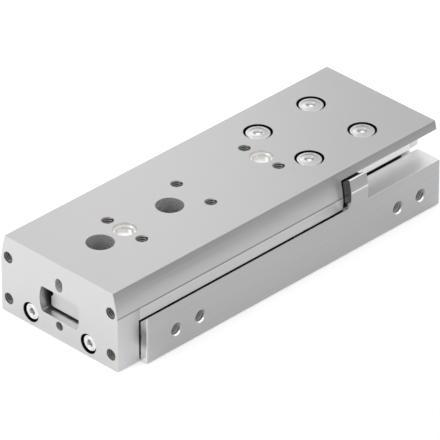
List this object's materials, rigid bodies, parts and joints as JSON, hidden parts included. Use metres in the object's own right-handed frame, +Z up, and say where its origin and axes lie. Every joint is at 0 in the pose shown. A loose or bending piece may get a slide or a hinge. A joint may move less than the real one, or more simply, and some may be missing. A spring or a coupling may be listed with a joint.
{
  "type": "pneumatic slide table",
  "caption": "Compact pneumatic slide: a flat aluminium housing with two bores moves an L-shaped table on a ball rail guide.",
  "frame": {"origin": "under the middle of the closed slide, on the face that it is mounted by", "axes": "+X the way the table advances, +Y towards the side with the air ports, +Z up out of the table's top"},
  "size_m": [0.095, 0.0384, 0.0185],
  "materials": {
    "housing_aluminium": "finely brushed along its length, clear anodised",
    "table_aluminium": "finely blasted, clear anodised",
    "guide_steel": "ground",
    "screw_steel": "bright stainless",
    "rod_steel": "ground and polished",
    "ball_steel": "polished",
    "clip_steel": "dark spring steel",
    "cap_plastic": "moulded, matt",
    "bumper_rubber": "matt",
    "seal_rubber": "matt",
    "bearing_bronze": "turned",
    "piston_aluminium": "turned",
    "magnet": "matt"
  },
  "bodies": {
    "housing": {"housing": "housing_aluminium", "guide_rail": "guide_steel", "rail_screws": "screw_steel", "rod_bearing_left": "bearing_bronze", "rod_bearing_right": "bearing_bronze", "rod_seals": "seal_rubber", "orings": "seal_rubber", "end_plug_left": "piston_aluminium", "end_plug_right": "piston_aluminium", "retaining_clips_front": "clip_steel", "retaining_clips_rear": "clip_steel", "bumper_left": "bumper_rubber", "bumper_right": "bumper_rubber"},
    "table": {"slide_table": "table_aluminium", "guide_carriage": "guide_steel", "end_cap_front": "cap_plastic", "end_cap_rear": "cap_plastic", "end_seal_front": "seal_rubber", "end_seal_rear": "seal_rubber", "end_cap_screws": "screw_steel", "ball_circuit_left": "ball_steel", "ball_circuit_right": "ball_steel", "table_screws": "screw_steel", "rod_screws": "screw_steel", "piston_rod_left": "rod_steel", "piston_rod_right": "rod_steel", "piston_left": "piston_aluminium", "piston_right": "piston_aluminium", "piston_magnet_left": "magnet", "piston_magnet_right": "magnet", "piston_tail_left": "piston_aluminium", "piston_tail_right": "piston_aluminium", "piston_seals": "seal_rubber", "piston_buffers": "bumper_rubber"}
  },
  "joints": [
    {"name": "table_travel", "type": "slide", "parent": "housing", "child": "table", "axis": [1, 0, 0], "range_m": [0, 0.05]}
  ]
}
